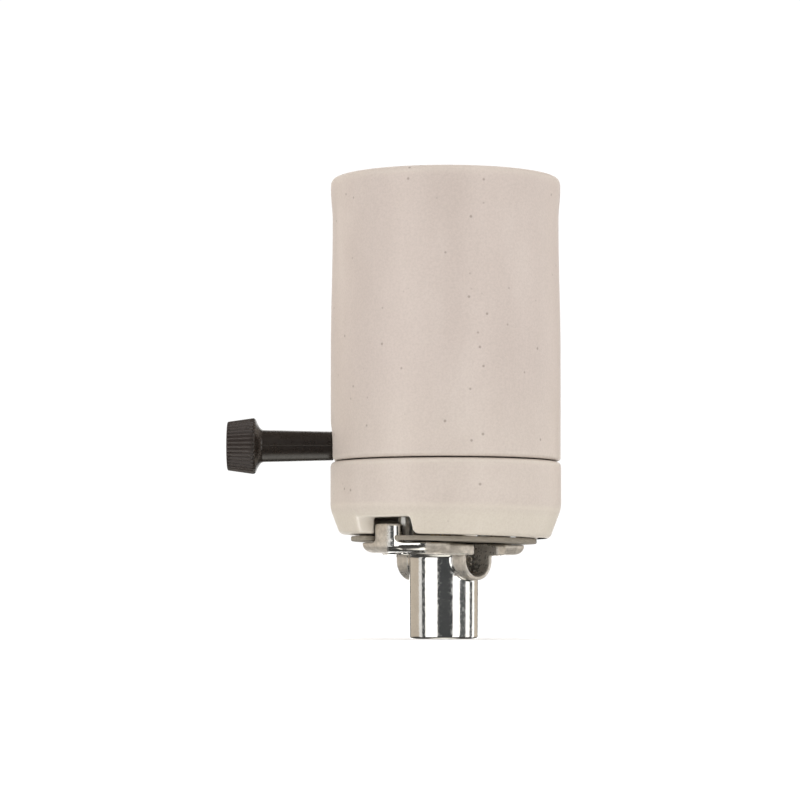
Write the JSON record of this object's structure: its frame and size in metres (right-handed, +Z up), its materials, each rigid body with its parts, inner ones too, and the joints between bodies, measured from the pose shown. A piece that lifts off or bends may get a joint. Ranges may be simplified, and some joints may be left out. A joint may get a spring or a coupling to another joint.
{
  "type": "mogul porcelain lampholder",
  "caption": "Porcelain mogul-base lampholder for heat lamps, with a side turn-knob switch, a fibre disc and a threaded die-cast bottom bracket with two side wire outlets.",
  "frame": {"origin": "centre of the hub's bottom face, on the lampholder's axis", "axes": "+Z up along the lampholder's axis towards the lamp; the switch knob points along -X"},
  "size_m": [0.0828, 0.0572, 0.1145],
  "materials": {
    "porcelain": "unglazed, warm off-white, matte with fine specks",
    "phenolic": "moulded brown-black phenolic, satin",
    "zinc": "bright nickel-plated die casting, satin on sheared flats",
    "fibre": "grey vulcanised fibre, matte",
    "mica": "pressed mica, silvery brown",
    "brass": "drawn brass, satin",
    "bronze": "phosphor bronze spring strip",
    "steel": "zinc-plated steel"
  },
  "bodies": {
    "lampholder": {"upper_body": "porcelain", "lower_base": "porcelain", "bottom_bracket": "zinc", "fibre_disc": "fibre", "shell_insulator": "mica", "screw_shell": "brass", "contact_rivet": "brass", "disc_eyelet_left": "brass", "disc_eyelet_right": "brass", "neutral_strap": "brass", "line_terminal": "brass", "neutral_terminal": "brass", "shell_nut_plate": "brass", "contact_leaf_tail": "bronze", "detent_spring": "bronze", "line_contact": "bronze", "load_contact": "bronze", "assembly_screw_front": "steel", "assembly_screw_back": "steel", "frame_screw_left": "steel", "frame_screw_right": "steel", "line_terminal_screw": "steel", "neutral_terminal_screw": "steel", "load_contact_screw": "steel", "shell_screw_left": "steel", "shell_screw_right": "steel", "switch_frame": "steel"},
    "switch_rotor": {"knob": "phenolic", "knob_insert": "brass", "switch_spindle": "steel", "detent_wheel": "steel", "rotor": "phenolic", "rotor_blade": "brass", "spindle_clip": "steel"},
    "contact_spring": {"contact_leaf": "bronze", "contact_button": "brass"}
  },
  "joints": [
    {"name": "knob_turn", "type": "hinge", "parent": "lampholder", "child": "switch_rotor", "pos_m": [-0.0279, 0, 0.0478], "axis": [-1, 0, 0], "continuous": true},
    {"name": "contact_press", "type": "hinge", "parent": "lampholder", "child": "contact_spring", "pos_m": [-0.0047, 0, 0.0647], "axis": [0, 1, 0], "range_deg": [0, 14], "stiffness_Nm_per_rad": 0.1}
  ]
}
